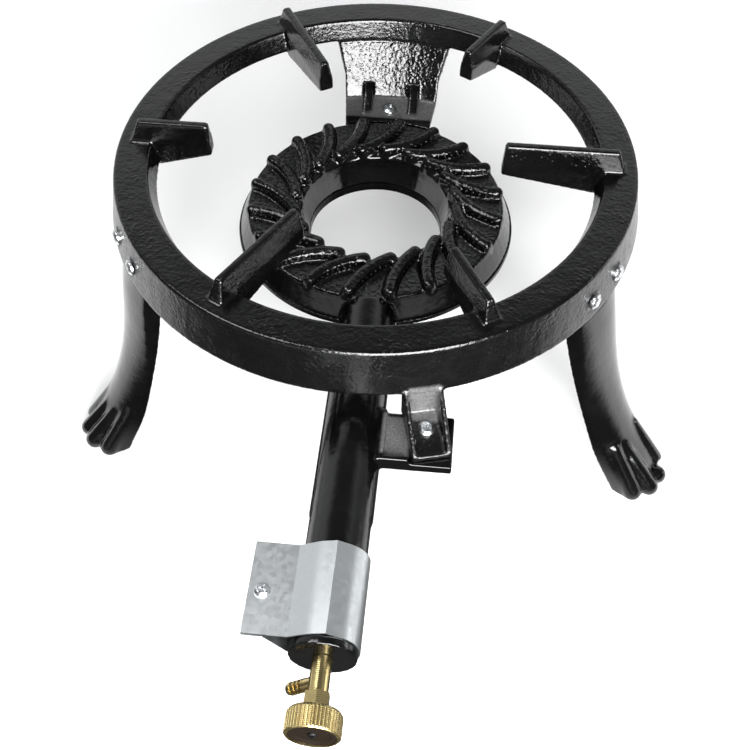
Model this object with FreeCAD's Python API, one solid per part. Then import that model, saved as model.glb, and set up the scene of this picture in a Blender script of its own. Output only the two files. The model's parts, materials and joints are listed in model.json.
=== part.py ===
import FreeCAD, Part
import math
import os

V = FreeCAD.Vector

# Heights, measured down from the top of the pan ring
overall_drop = 215.0
seat_drop = 65.0
thread_gap = 0.05
hole_gap = 0.25
running_gap = 0.06
sleeve_gap = 0.3

# Pan ring
ring_r_top = 200.0
ring_flare = 6.8
ring_skirt = 37.4
ring_width = 25.4
ring_lip_in = 5.8
ring_lip = 17.0
ring_wall = 5.0
ring_flange = 6.0
ring_round = 1.5
boss_in = 7.0
boss_half = 33.0
spot_out = 3.4
spot_r = 7.5
ring_r_bot = ring_r_top + ring_flare
ring_r_in = ring_r_top - ring_width
ring_r_lip = ring_r_in - ring_lip_in
boss_plane = ring_r_top - boss_in
spot_plane = ring_r_top + spot_out

# Pot supports
lug_count = 3
lug_rise = 16.8
lug_long_r = 98.4
lug_short_r = 129.2
lug_crest_in = 16.0
lug_foot_in = 10.0
lug_tip_drop = 9.0
lug_tip_rake = 1.5
lug_root_drop = 22.0
lug_half_top = 3.0
lug_half_base = 6.0
lug_crest_end = ring_r_top - lug_crest_in
lug_foot_end = ring_r_top - lug_foot_in

# Front ear on the ring
ear_angle = 284.6
ear_half = 13.8
ear_web = 5.5
ear_out = 44.0
ear_thick = 5.0
ear_screw_in = 23.0
gusset_thick = 3.6
gusset_top_drop = 34.0
ear_r_in = ring_r_top - 0.5
ear_reach = ring_r_top + ear_out
ear_screw_r = ear_reach - ear_screw_in
ear_screw_x = ear_screw_r * math.cos(math.radians(ear_angle))
ear_screw_y = ear_screw_r * math.sin(math.radians(ear_angle))

# Burner head and its bottom plate
plate_r_out = 111.5
plate_lip = 1.0
head_r_hole = 59.4
head_r_hole_low = 53.5
head_hole_drop = 57.0
head_hole_low_drop = 79.0
head_valley_in_drop = 54.5
head_valley_out_drop = 53.0
head_flare = 8.0
head_base_drop = 72.0
head_wall = 4.5
head_r_base = plate_r_out - plate_lip
head_r_rim = head_r_base - head_flare
rib_count = 20
rib_phase = 11.5
rib_sweep = 22.2
rib_bow = 4.0
rib_width = 10.4
rib_crest_drop = 46.0
rib_start = 5.2
rib_rim_gap = 3.5
rib_round = 4.6
rib_r_in = head_r_hole + rib_start
rib_r_out = head_r_rim - rib_rim_gap
port_r = 0.9
port_rows = 9
port_drop = 50.4
slot_half = 2.0
plate_thick_out = 4.5
plate_thick_in = 8.0
plate_screw_r = 84.0
plate_screw_seat = 77.0
plate_screw_head = 83.5
plate_boss_r = 6.5
plate_pad_r = 8.0

# Back bracket on the ring, its screw kept clear of the bottom plate
brk_screw_out = 16.5
brk_foot_front = 16.0
brk_foot_back = 18.0
brk_lip_in = 2.7
brk_top_drop = 13.0
brk_half_top = 57.0
brk_half_bend = 41.5
brk_half_front = 34.0
brk_thick = 5.0
brk_rib_x = 20.0
brk_rib_thick = 8.0
brk_rib_front = 7.0
brk_rib_top_drop = 48.0
brk_screw_y = plate_r_out + brk_screw_out
brk_r_in = brk_screw_y - brk_foot_front
brk_r_bot = brk_screw_y + brk_foot_back
brk_r_top = ring_r_lip + brk_lip_in
brk_rib_start = brk_r_in + brk_rib_front

# Mixing tube
tube_x = 4.4
tube_drop = 72.0
tube_r = 21.5
tube_wall = 4.0
tube_end = 381.6
tube_head_lap = 39.0
window_half = 11.0
window_from = 324.0
window_to = 364.0
flat_from = 284.0
flat_depth = 1.4
tube_inner_end = head_r_base - tube_head_lap

# Wing on the tube and lug behind the head
wing_side = 19.3
wing_ahead = 27.1
wing_behind = 15.9
wing_thick = 7.5
wing_rim = 4.0
wing_rim_rise = 5.0
wing_rim_gap = 10.2
lug_rear_back = 20.0
lug_rear_half = 32.0
lug_rear_thick = 7.0
wing_x = ear_screw_x + wing_side
wing_front = wing_ahead - ear_screw_y
wing_back = -ear_screw_y - wing_behind
wing_rim_x = ear_screw_x - wing_rim_gap
lug_rear_reach = brk_screw_y + lug_rear_back

# Air shutter
sheet = 1.0
shutter_front = 376.0
shutter_length = 63.0
wing_level = 14.0
wing_bend = 21.0
wing_tip = 50.4
wing_split = 37.4
wing_slit = 1.0
ridge_angle = 85.0
ridge_extra = 1.4
shutter_screw_x = 41.6
shutter_screw_y = 347.0

# Legs
leg_angles = {"leg_back": 90.0, "leg_left": 210.0, "leg_right": 330.0}
leg_pad_thick = 8.0
leg_pad_half = 30.0
leg_pad_top = 8.5
leg_half = 28.0
leg_shell = 7.0
shoulder_gap = 0.4
toe_r = 7.8
toe_tips = ((-19.5, 62.0), (-7.0, 71.0), (7.0, 71.0), (19.5, 62.0))
toe_heel = 35.0
toe_heel_drop = 170.0
leg_screw_side = 17.2
leg_screw_drop = 23.0
# How far each foot stands out and to its side of the straight casting, over the shank
leg_leans = {"leg_back": (0.0, 0.0), "leg_left": (-4.0, 7.0), "leg_right": (11.0, 0.0)}
lean_from = 46.0
# Leg sections: drop, then back edge, side edge and front crown past the ring's radius,
# and the share of the half width
leg_sections = (
    (39.0, -15.0, -1.0, 5.0, 1.0),
    (60.0, -10.0, 3.0, 10.0, 1.0),
    (90.0, -3.0, 7.5, 16.0, 0.98),
    (125.0, 7.0, 14.0, 25.0, 0.95),
    (155.0, 17.0, 25.0, 37.0, 0.92),
    (180.0, 27.0, 40.0, 51.0, 0.92),
    (200.0, 38.0, 54.0, 65.0, 0.9),
    (215.0, 46.0, 61.0, 70.0, 0.88),
)

# Screws and nuts: shank radius, head radius, head height, nut flat half, nut height
m6 = (3.0, 6.2, 3.6, 5.0, 5.0)
m5 = (2.5, 5.0, 3.0, 4.0, 4.0)
recess_depth = 1.8
recess_arm = 0.62
recess_width = 0.9

# Gas valve, axis along the tube
body_r = 6.35
body_front = 404.0
neck_r = 5.0
neck_back = 366.0
bore_r = 3.0
pocket_r = 4.2
pocket_depth = 8.0
gland_across = 7.35
gland_neck_r = 4.6
gland_length = 9.3
gland_insert = 4.0
spindle_r = 2.0
spindle_tip_r = 0.7
spindle_tip = 12.0
needle_gap = 0.5
jet_r = 3.9
jet_length = 9.0
jet_hole = 0.6
knob_r = 17.2
knob_back = 413.8
knob_front = 430.2
knob_flutes = 48
knob_flute_r = 0.8
knob_face = 3.0
knob_rim = 2.2
knob_screw_r = 1.5
knob_screw_head = 3.0
barb_r = 4.25
barb_length = 26.0
barb_drop_angle = 42.0
barb_y = 396.0
barb_bore = 2.4
barb_ridges = 4
barb_waist = 0.75
barb_neck = 4.0
screw_pitch = 0.75
knob_turns = 2.0

top = overall_drop
y_shift = (knob_front - (ring_r_top + toe_tips[1][1] + toe_r)) / 2.0


# Closed face from 2D points; a third number rounds that corner
def profile(points, place):
    count = len(points)
    corners = []
    for i in range(count):
        here = points[i]
        before = points[i - 1]
        after = points[(i + 1) % count]
        r = here[2] if len(here) > 2 else 0.0
        if r <= 0.0:
            p = place(here[0], here[1])
            corners.append((p, None, p))
            continue
        ux, uz = before[0] - here[0], before[1] - here[1]
        vx, vz = after[0] - here[0], after[1] - here[1]
        lu = math.hypot(ux, uz)
        lv = math.hypot(vx, vz)
        ux, uz, vx, vz = ux / lu, uz / lu, vx / lv, vz / lv
        half = math.acos(max(-1.0, min(1.0, ux * vx + uz * vz))) / 2.0
        run = min(r / math.tan(half), 0.48 * lu, 0.48 * lv)
        r = run * math.tan(half)
        bx, bz = ux + vx, uz + vz
        lb = math.hypot(bx, bz)
        reach = r / math.sin(half) - r
        start = place(here[0] + ux * run, here[1] + uz * run)
        middle = place(here[0] + bx / lb * reach, here[1] + bz / lb * reach)
        end = place(here[0] + vx * run, here[1] + vz * run)
        corners.append((start, middle, end))
    edges = []
    for i in range(count):
        start, middle, end = corners[i]
        if middle is not None:
            edges.append(Part.Arc(start, middle, end).toShape())
        follow = corners[(i + 1) % count][0]
        if end.distanceToPoint(follow) > 1e-6:
            edges.append(Part.makeLine(end, follow))
    return Part.Face(Part.Wire(edges))


# Radius and drop as a point in the plane at an angle round the ring
def rz(r, drop):
    return V(r, 0, top - drop)


def polar(r, angle, drop=0.0, side=0.0):
    a = math.radians(angle)
    x = r * math.cos(a) - side * math.sin(a)
    y = r * math.sin(a) + side * math.cos(a)
    return V(x, y, top - drop)


def heading(angle):
    a = math.radians(angle)
    return V(math.cos(a), math.sin(a), 0)


def turned(shape, angle):
    copy = shape.copy()
    copy.rotate(V(0, 0, 0), V(0, 0, 1), angle)
    return copy


def spun(points):
    return profile(points, rz).revolve(V(0, 0, 0), V(0, 0, 1), 360)


# Block from radius, side and drop limits, before it is turned to its angle
def block(r0, r1, s0, s1, d0, d1):
    return Part.makeBox(r1 - r0, s1 - s0, d1 - d0, V(r0, s0, top - d1))


# Plate in the radius and drop plane, centred on a side offset
def fin(points, thick, side=0.0):
    face = profile(points, lambda r, d: V(r, side - thick / 2.0, top - d))
    return face.extrude(V(0, thick, 0))


def rod(radius, base, direction, length):
    return Part.makeCylinder(radius, length, base, direction)


def hexagon(half_flat, height, base, direction, bore):
    points = []
    for k in range(6):
        a = math.radians(60 * k + 30)
        r = half_flat / math.cos(math.radians(30))
        points.append(V(r * math.cos(a), r * math.sin(a), 0))
    body = Part.Face(Part.makePolygon(points + points[:1])).extrude(V(0, 0, height))
    body = body.cut(Part.makeCylinder(bore, height + 2, V(0, 0, -1)))
    turn = FreeCAD.Rotation(V(0, 0, 1), direction)
    body.Placement = FreeCAD.Placement(base, turn)
    return body


# Pan head screw with a cross recess; the head rests on seat, the shank runs along direction
def screw(size, seat, direction, length):
    shank_r, head_r, head_h = size[0], size[1], size[2]
    rise = head_h * 0.62
    outline = [(0, -rise - head_h * 0.38, 0.0), (head_r * 0.62, -head_h * 0.97, 0.8),
               (head_r, -rise * 0.75, 1.0), (head_r, 0), (shank_r, 0),
               (shank_r, length - 0.6), (shank_r - 0.6, length), (0, length)]
    face = profile(outline, lambda r, z: V(r, 0, z))
    body = face.revolve(V(0, 0, 0), V(0, 0, 1), 360)
    arm = head_r * recess_arm
    wide = head_r * recess_width / 4.0
    for k in range(2):
        bar = Part.makeBox(2 * arm, wide, recess_depth, V(-arm, -wide / 2.0, -head_h))
        bar.rotate(V(0, 0, 0), V(0, 0, 1), 90 * k + 20)
        body = body.cut(bar)
    body.Placement = FreeCAD.Placement(seat, FreeCAD.Rotation(V(0, 0, 1), direction))
    return body


def group(shapes):
    return Part.makeCompound(shapes)


# Ring section, flange and lip
def ring_inner(drop):
    return ring_r_in - (ring_r_in - ring_r_lip) * drop / ring_lip


def ring_outer(drop):
    return ring_r_top + (ring_r_bot - ring_r_top) * drop / ring_skirt


def make_ring():
    ring = spun([
        (ring_r_in, 0, ring_round), (ring_r_top, 0, ring_round),
        (ring_r_bot, ring_skirt, 1.0), (ring_r_bot - ring_wall, ring_skirt, 1.0),
        (ring_outer(ring_flange) - ring_wall, ring_flange, 3.0),
        (ring_inner(ring_flange) + ring_wall, ring_flange, 2.0),
        (ring_r_lip + ring_wall, ring_lip), (ring_r_lip, ring_lip, 1.0)])
    skirt_hull = spun([(0, 0), (ring_r_top - 1.0, 0), (ring_r_bot - 1.0, ring_skirt), (0, ring_skirt)])
    extras = []
    for k in range(lug_count):
        extras.append(turned(make_lug(lug_long_r), 120 * k))
        extras.append(turned(make_lug(lug_short_r), 120 * k + 60))
    for angle in leg_angles.values():
        pad = block(boss_plane, ring_r_bot, -boss_half, boss_half, 3.0, ring_skirt)
        extras.append(turned(pad.common(skirt_hull), angle))
        for side in (-leg_screw_side, leg_screw_side):
            base = polar(ring_r_top - ring_wall + 1.0, angle, leg_screw_drop, side)
            extras.append(rod(spot_r, base, heading(angle), spot_plane - ring_r_top + ring_wall - 1.0))
    extras.append(make_ear())
    extras.append(make_bracket())
    ring = ring.multiFuse(extras)
    cuts = []
    for angle in leg_angles.values():
        for side in (-leg_screw_side, leg_screw_side):
            spot = polar(spot_plane, angle, leg_screw_drop, side)
            cuts.append(rod(spot_r, spot, heading(angle), 8.0))
            hole = polar(boss_plane - 10, angle, leg_screw_drop, side)
            cuts.append(rod(m6[0] + hole_gap, hole, heading(angle), 24.0))
    ear_hole = polar(ear_screw_r, ear_angle, seat_drop + 2)
    cuts.append(rod(m6[0] + hole_gap, ear_hole, V(0, 0, 1), ear_thick + 6))
    back_hole = V(0, brk_screw_y, top - seat_drop - 2)
    cuts.append(rod(m6[0] + hole_gap, back_hole, V(0, 0, 1), brk_thick + 6))
    return ring.cut(group(cuts)).removeSplitter()


# One pot support with drafted sides, along +X
def make_lug(r_tip):
    slope = lug_tip_rake / (lug_rise + lug_tip_drop)
    root = ring_r_lip + ring_wall * 0.6
    side = fin([
        (r_tip, -lug_rise, 2.0), (lug_crest_end, -lug_rise, 1.5), (lug_foot_end, 0.0),
        (lug_foot_end, 3.0), (ring_inner(3.0) + 2.0, 3.0), (root, ring_lip - 0.5),
        (root, lug_root_drop, 1.0), (r_tip - slope * (lug_rise + lug_tip_drop), lug_tip_drop, 1.5)],
        4 * lug_half_base)
    draft = profile([
        (-lug_half_top, -lug_rise, 1.2), (lug_half_top, -lug_rise, 1.2),
        (lug_half_base, 0.0), (lug_half_base, lug_root_drop + 2),
        (-lug_half_base, lug_root_drop + 2), (-lug_half_base, 0.0)],
        lambda s, d: V(r_tip - 10, s, top - d)).extrude(V(ring_r_top - r_tip + 20, 0, 0))
    return side.common(draft)


# Ear that stands below the skirt and carries the mixing tube
def make_ear():
    foot_top = seat_drop - ear_thick
    web = block(ear_r_in, ear_r_in + ear_web, -ear_half, ear_half, gusset_top_drop, seat_drop)
    foot = fin([(ear_r_in, foot_top), (ear_reach, foot_top, 1.0), (ear_reach, seat_drop, 1.0),
                (ear_r_in, seat_drop)], 2 * ear_half)
    pieces = [foot]
    for sign in (-1, 1):
        pieces.append(fin([
            (ear_r_in + 1, gusset_top_drop), (ring_r_bot - 0.5, gusset_top_drop),
            (ear_reach - 1.0, foot_top - 1.0, 1.0), (ear_reach - 1.0, seat_drop - 1.0),
            (ear_r_in + 1, seat_drop - 1.0)],
            gusset_thick, sign * (ear_half - gusset_thick / 2.0)))
    return turned(web.multiFuse(pieces), ear_angle)


# Sloping bracket at the back of the ring with its foot and two ribs
def make_bracket():
    foot_top = seat_drop - brk_thick
    spread = math.degrees(math.atan2(brk_half_top, brk_r_top)) + 3.0
    skin = profile([
        (brk_r_top, brk_top_drop), (brk_r_top + brk_thick, brk_top_drop),
        (brk_r_bot + brk_thick, foot_top), (brk_r_bot + brk_thick * 0.6, seat_drop, 2.0),
        (brk_r_in, seat_drop), (brk_r_in, foot_top), (brk_r_bot, foot_top, 2.0)], rz)
    skin = skin.revolve(V(0, 0, 0), V(0, 0, 1), 2 * spread)
    skin = turned(skin, 90 - spread)
    bend = brk_r_bot + brk_thick + 1.5
    rim = brk_r_top + brk_thick + 1.0
    trim = profile([
        (-brk_half_front, brk_r_in - 30), (brk_half_front, brk_r_in - 30), (brk_half_bend, bend),
        (brk_half_top, rim), (-brk_half_top, rim), (-brk_half_bend, bend)],
        lambda x, y: V(x, y, top - seat_drop - 1)).extrude(V(0, 0, seat_drop))
    skin = skin.common(trim)
    slope = (brk_r_top - brk_r_bot) / (foot_top - brk_top_drop)
    rib_top_r = brk_r_bot + slope * (foot_top - brk_rib_top_drop)
    ribs = []
    for sign in (-1, 1):
        rib = fin([
            (brk_rib_start, foot_top + 1.0), (brk_rib_start, foot_top - 0.5, 0.4),
            (rib_top_r - 12.0, brk_rib_top_drop + 1.5, 3.0), (rib_top_r - 4.0, brk_rib_top_drop, 2.5),
            (rib_top_r + 1.0, brk_rib_top_drop + 4.0), (brk_r_bot + 1.5, foot_top + 1.0)],
            brk_rib_thick, sign * brk_rib_x)
        ribs.append(turned(rib, 90))
    return skin.multiFuse(ribs)


# Solid between two shells of the head: the gas room, as radius and drop
def head_room():
    r0 = head_r_hole + head_wall
    r1 = head_r_rim - 1.5
    return spun([
        (r0, head_valley_in_drop + head_wall, 3.0), (r1, head_valley_out_drop + head_wall, 3.0),
        (head_r_base - head_wall, head_base_drop), (plate_floor_r(), head_base_drop),
        (head_r_hole_low + head_wall + 1.0, head_hole_low_drop),
        (head_r_hole_low + head_wall, head_hole_low_drop)])


def plate_floor_r():
    return head_r_base - head_wall - 0.7


def rib_path(angle_out):
    a0 = math.radians(angle_out)
    a1 = math.radians(angle_out + rib_sweep)
    start = (rib_r_out * math.cos(a0), rib_r_out * math.sin(a0))
    end = (rib_r_in * math.cos(a1), rib_r_in * math.sin(a1))
    mx = (start[0] + end[0]) / 2.0
    my = (start[1] + end[1]) / 2.0
    ux, uy = end[0] - start[0], end[1] - start[1]
    chord = math.hypot(ux, uy)
    ux, uy = ux / chord, uy / chord
    radius = chord * chord / (8.0 * rib_bow) + rib_bow / 2.0
    cx = mx + uy * (radius - rib_bow)
    cy = my - ux * (radius - rib_bow)
    return start, end, (cx, cy), radius


# Curved strip with round ends, lying along one rib
def rib_strip(width, low_drop, high_drop, angle_out, trim=0.0):
    start, end, centre, radius = rib_path(angle_out)
    a0 = math.atan2(start[1] - centre[1], start[0] - centre[0])
    a1 = math.atan2(end[1] - centre[1], end[0] - centre[0])
    if a1 - a0 > math.pi:
        a1 -= 2 * math.pi
    if a0 - a1 > math.pi:
        a1 += 2 * math.pi
    cut = trim / radius * (1 if a1 > a0 else -1)
    a0 += cut
    a1 -= cut
    am = (a0 + a1) / 2.0
    h = width / 2.0
    z = top - low_drop

    def at(r, a):
        return V(centre[0] + r * math.cos(a), centre[1] + r * math.sin(a), z)

    sign = 1 if a1 > a0 else -1
    ends = []
    for a, way in ((a1, sign), (a0, -sign)):
        mid = at(radius, a)
        ends.append(V(mid.x - way * h * math.sin(a), mid.y + way * h * math.cos(a), z))
    outer = Part.Arc(at(radius + h, a0), at(radius + h, am), at(radius + h, a1)).toShape()
    inner = Part.Arc(at(radius - h, a1), at(radius - h, am), at(radius - h, a0)).toShape()
    tip = Part.Arc(at(radius + h, a1), ends[0], at(radius - h, a1)).toShape()
    tail = Part.Arc(at(radius - h, a0), ends[1], at(radius + h, a0)).toShape()
    face = Part.Face(Part.Wire([outer, tip, inner, tail]))
    return face.extrude(V(0, 0, low_drop - high_drop)), centre, radius, a0, a1


def make_rib():
    low = head_valley_in_drop + 3.0
    strip, centre, radius, a0, a1 = rib_strip(rib_width, low, rib_crest_drop, rib_phase)
    crown = [e for e in strip.Edges if abs(e.BoundBox.ZMin - (top - rib_crest_drop)) < 1e-6]
    strip = strip.makeFillet(rib_round, crown)
    holes = []
    for k in range(port_rows):
        a = a0 + (a1 - a0) * (k + 0.5) / port_rows
        p = V(centre[0] + radius * math.cos(a), centre[1] + radius * math.sin(a), top - port_drop)
        out = V(math.cos(a), math.sin(a), 0.0)
        holes.append(rod(port_r, p - out * rib_width, out, 2 * rib_width))
    return strip, holes


def make_burner():
    r_wall = head_r_base - head_wall
    shell = spun([
        (head_r_hole_low, head_hole_low_drop), (head_r_hole, head_hole_drop - 1.0, 1.5),
        (head_r_hole + 2.5, head_valley_in_drop, 1.0), (head_r_rim, head_valley_out_drop, 2.5),
        (head_r_base, head_base_drop), (r_wall, head_base_drop),
        (head_r_rim - 1.5, head_valley_out_drop + head_wall, 3.0),
        (head_r_hole + head_wall, head_valley_in_drop + head_wall, 3.0),
        (head_r_hole_low + head_wall, head_hole_low_drop)])
    axis = V(0, 1, 0)
    tube = rod(tube_r, V(tube_x, -tube_end, top - tube_drop), axis, tube_end - tube_inner_end)
    over = Part.makeCylinder(head_r_rim, 40, V(0, 0, top - head_valley_out_drop - 1.5))
    tube = tube.cut(over).cut(head_room())
    rib, holes = make_rib()
    slot = rib_strip(2 * slot_half, head_valley_in_drop + head_wall + 2, rib_crest_drop + 2.4,
                     rib_phase, slot_half)[0]
    pieces = [tube, make_wing(), make_rear_lug()]
    ports = []
    step = 360.0 / rib_count
    for k in range(rib_count):
        pieces.append(turned(rib, k * step))
        ports.append(turned(slot, k * step))
        for hole in holes:
            ports.append(turned(hole, k * step))
    for k in range(3):
        boss = polar(plate_screw_r, 120 * k + 90, plate_screw_seat)
        pieces.append(rod(plate_boss_r, boss, V(0, 0, 1), plate_screw_seat - head_valley_in_drop - 2))
    body = shell.multiFuse(pieces)
    bore_from = tube_end - tube_wall
    cuts = [rod(tube_r - tube_wall, V(tube_x, -bore_from, top - tube_drop), axis,
                bore_from - tube_inner_end - tube_wall)]
    cuts.append(rod(neck_r + running_gap, V(tube_x, -tube_end - 1, top - tube_drop), axis, tube_wall + 2))
    cuts.append(Part.makeBox(2 * tube_r + 4, window_to - window_from, 2 * window_half,
                             V(tube_x - tube_r - 2, -window_to, top - tube_drop - window_half)))
    for x in (tube_x - tube_r - 5 + flat_depth, tube_x + tube_r - flat_depth):
        cuts.append(Part.makeBox(5, window_to - flat_from + 4, 2 * window_half + 6,
                                 V(x, -window_to - 4, top - tube_drop - window_half - 3)))
    for k in range(3):
        boss = polar(plate_screw_r, 120 * k + 90, plate_screw_seat + 1)
        cuts.append(rod(m5[0] + thread_gap, boss, V(0, 0, 1), plate_screw_seat + 1 - head_valley_in_drop - 4))
    spot = V(ear_screw_x, ear_screw_y, top - seat_drop - wing_thick - 2)
    cuts.append(rod(m6[0] + hole_gap, spot, V(0, 0, 1), wing_thick + 6))
    spot = V(0, brk_screw_y, top - seat_drop - lug_rear_thick - 2)
    cuts.append(rod(m6[0] + hole_gap, spot, V(0, 0, 1), lug_rear_thick + 4))
    return body.cut(group(cuts + ports)).removeSplitter()


# Wing beside the tube under the front ear
def make_wing():
    low = top - seat_drop - wing_thick
    inner = tube_x + tube_r * 0.75
    plate = Part.makeBox(wing_x - inner, wing_front - wing_back, wing_thick, V(inner, -wing_front, low))
    front = Part.makeBox(wing_rim_x - inner, wing_rim, wing_thick + wing_rim_rise, V(inner, -wing_front, low))
    left = Part.makeBox(wing_rim, wing_front - wing_back, wing_thick + wing_rim_rise,
                        V(tube_x + tube_r - 2.0, -wing_front, low))
    solid = plate.multiFuse([front, left])
    bore = rod(tube_r - 1.0, V(tube_x, -wing_front - 1, top - tube_drop), V(0, 1, 0),
               wing_front - wing_back + 2)
    return solid.cut(bore)


def make_rear_lug():
    r0 = head_r_base - head_wall + 1.0
    lug = block(r0 * 0.95, lug_rear_reach, -lug_rear_half, lug_rear_half, seat_drop,
                seat_drop + lug_rear_thick)
    hull = spun([(head_r_rim - 1.5, head_valley_out_drop + head_wall), (head_r_base - 1.2, head_base_drop),
                 (lug_rear_reach + 60, head_base_drop), (lug_rear_reach + 60, head_valley_out_drop)])
    return turned(lug.common(hull), 90)


def make_plate():
    r_in = head_r_hole_low
    lip = r_in + head_wall + 1.0
    floor_r = plate_floor_r()
    slope = (head_hole_low_drop - head_base_drop) / (floor_r - lip)
    plate = spun([
        (r_in, head_hole_low_drop), (lip, head_hole_low_drop), (floor_r, head_base_drop),
        (plate_r_out, head_base_drop, 0.8), (plate_r_out, head_base_drop + plate_thick_out, 0.8),
        (floor_r, head_base_drop + plate_thick_out),
        (lip, head_hole_low_drop + plate_thick_in), (r_in, head_hole_low_drop + plate_thick_in, 1.0)])
    pads = []
    cuts = []
    for k in range(3):
        angle = 120 * k + 90
        pads.append(rod(plate_pad_r, polar(plate_screw_r, angle, plate_screw_head), V(0, 0, 1),
                        plate_screw_head - plate_screw_seat))
        cuts.append(rod(plate_pad_r - 0.6, polar(plate_screw_r, angle, plate_screw_seat), V(0, 0, 1), 9))
        cuts.append(rod(m5[0] + hole_gap, polar(plate_screw_r, angle, plate_screw_head + 2), V(0, 0, 1), 12))
    gap = 0.5
    cuts.append(rod(tube_r + gap, V(tube_x, -plate_r_out - 5, top - tube_drop), V(0, 1, 0),
                    plate_r_out + 5 - tube_inner_end + gap))
    return plate.multiFuse(pads).cut(group(cuts)).removeSplitter()


# Cast leg: pad, curved shell with a hollow back, and four toes
def lean_at(drop, lean):
    return lean * max(0.0, drop - lean_from) / (overall_drop - lean_from)


def leg_section(row, leans, shrink=0.0, back=0.0):
    drop, r_back, r_side, r_front, share = row
    half = leg_half * share - shrink
    out = ring_r_top + lean_at(drop, leans[0])
    side = lean_at(drop, leans[1])
    z = top - drop
    a = V(out + r_back - back, side - half, z)
    b = V(out + r_side - shrink, side - half, z)
    m = V(out + r_front - shrink, side, z)
    c = V(out + r_side - shrink, side + half, z)
    d = V(out + r_back - back, side + half, z)
    return Part.Wire([Part.makeLine(a, b), Part.Arc(b, m, c).toShape(), Part.makeLine(c, d),
                      Part.makeLine(d, a)])


def make_leg(angle, leans):
    shank = Part.makeLoft([leg_section(row, leans) for row in leg_sections], True, False)
    hollow_rows = leg_sections[1:6]
    hollow = Part.makeLoft([leg_section(row, leans, leg_shell, 3.0) for row in hollow_rows], True, False)
    pad_back = boss_plane - leg_pad_thick
    pad = block(pad_back, boss_plane, -leg_pad_half, leg_pad_half, leg_pad_top, lean_from)
    toes = []
    for side, reach in toe_tips:
        tip = V(ring_r_top + reach + leans[0], side + leans[1], top - overall_drop + toe_r - 1.0)
        heel = V(ring_r_top + toe_heel + leans[0], side * 0.8 + leans[1], top - toe_heel_drop)
        run = tip - heel
        toes.append(Part.makeCone(toe_r * 0.62, toe_r, run.Length, heel, run))
        toes.append(Part.makeSphere(toe_r, tip))
    leg = shank.multiFuse([pad] + toes).cut(hollow)
    leg = leg.cut(block(boss_plane, ring_r_top + 30, -60, 60, -6.0, ring_skirt + shoulder_gap))
    leg = leg.cut(block(ring_r_top - 50, ring_r_top + 130, -80, 80, overall_drop, overall_drop + 30))
    for side in (-leg_screw_side, leg_screw_side):
        leg = leg.cut(rod(m6[0] + hole_gap, V(pad_back - 5, side, top - leg_screw_drop), V(1, 0, 0), 30))
    return turned(leg.removeSplitter(), angle)


def leg_fasteners():
    screws = []
    nuts = []
    pad_back = boss_plane - leg_pad_thick
    length = spot_plane - pad_back + m6[4] + 2.0
    for angle in leg_angles.values():
        inward = heading(angle) * -1.0
        for side in (-leg_screw_side, leg_screw_side):
            screws.append(screw(m6, polar(spot_plane, angle, leg_screw_drop, side), inward, length))
            nuts.append(hexagon(m6[3], m6[4], polar(pad_back, angle, leg_screw_drop, side), inward,
                                m6[0] + thread_gap))
    return group(screws), group(nuts)


def plate_screws():
    screws = []
    for k in range(3):
        seat = polar(plate_screw_r, 120 * k + 90, plate_screw_head)
        screws.append(screw(m5, seat, V(0, 0, 1), plate_screw_head - head_valley_in_drop - 8))
    return group(screws)


# Sheet clamp round the tube, drawn about the tube axis and slid to its place
def shutter_outline():
    r = tube_r + sleeve_gap + sheet

    def at(radius, angle):
        a = math.radians(angle)
        return V(radius * math.cos(a), 0, radius * math.sin(a))

    def tangent(x, z, sign):
        return math.degrees(math.atan2(z, x)) + sign * math.degrees(math.acos(r / math.hypot(x, z)))

    ears = 2 * sheet + wing_slit
    bend = (-wing_bend - r + tube_r, wing_level)
    split = (-wing_split, wing_level - ears)
    a_bend = tangent(bend[0], bend[1], -1)
    a_split = tangent(split[0], split[1], 1)
    spread = math.degrees(math.acos(r / (r + ridge_extra)))
    path = [V(-wing_tip, 0, wing_level), V(bend[0], 0, bend[1]), at(r, a_bend)]
    left = at(r, ridge_angle + spread)
    right = at(r, ridge_angle - spread)
    low = at(r, a_split)
    edges = [Part.makeLine(path[0], path[1]), Part.makeLine(path[1], path[2])]
    edges.append(Part.Arc(path[2], at(r, (a_bend + ridge_angle + spread) / 2.0), left).toShape())
    ridge = at(r + ridge_extra, ridge_angle)
    edges.append(Part.makeLine(left, ridge))
    edges.append(Part.makeLine(ridge, right))
    edges.append(Part.Arc(right, at(r, -60), low).toShape())
    joint = V(split[0], 0, split[1])
    corner = V(-wing_tip, 0, split[1])
    edges.append(Part.makeLine(low, joint))
    edges.append(Part.makeLine(joint, corner))
    edges.append(Part.makeLine(corner, path[0]))
    return Part.Face(Part.Wire(edges))


def make_shutter():
    outer = shutter_outline()
    inner = outer.makeOffset2D(-sheet)
    length = V(0, shutter_length, 0)
    body = outer.extrude(length).cut(inner.extrude(length))
    mouth = Part.makeBox(3 * sheet, shutter_length, wing_slit,
                         V(-wing_tip - sheet, 0, wing_level - sheet - wing_slit))
    body = body.cut(mouth)
    hole = V(-shutter_screw_x, shutter_front - shutter_screw_y, -50)
    body = body.cut(rod(m5[0] + hole_gap, hole, V(0, 0, 1), 100))
    body.translate(V(tube_x, -shutter_front, top - tube_drop))
    return body.removeSplitter()


def shutter_fasteners():
    seat = V(tube_x - shutter_screw_x, -shutter_screw_y, top - tube_drop + wing_level)
    ears = 2 * sheet + wing_slit
    bolt = screw(m5, seat, V(0, 0, -1), ears + m5[4] + 1.5)
    nut = hexagon(m5[3], m5[4], seat - V(0, 0, ears), V(0, 0, -1), m5[0] + thread_gap)
    return bolt, nut


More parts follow.
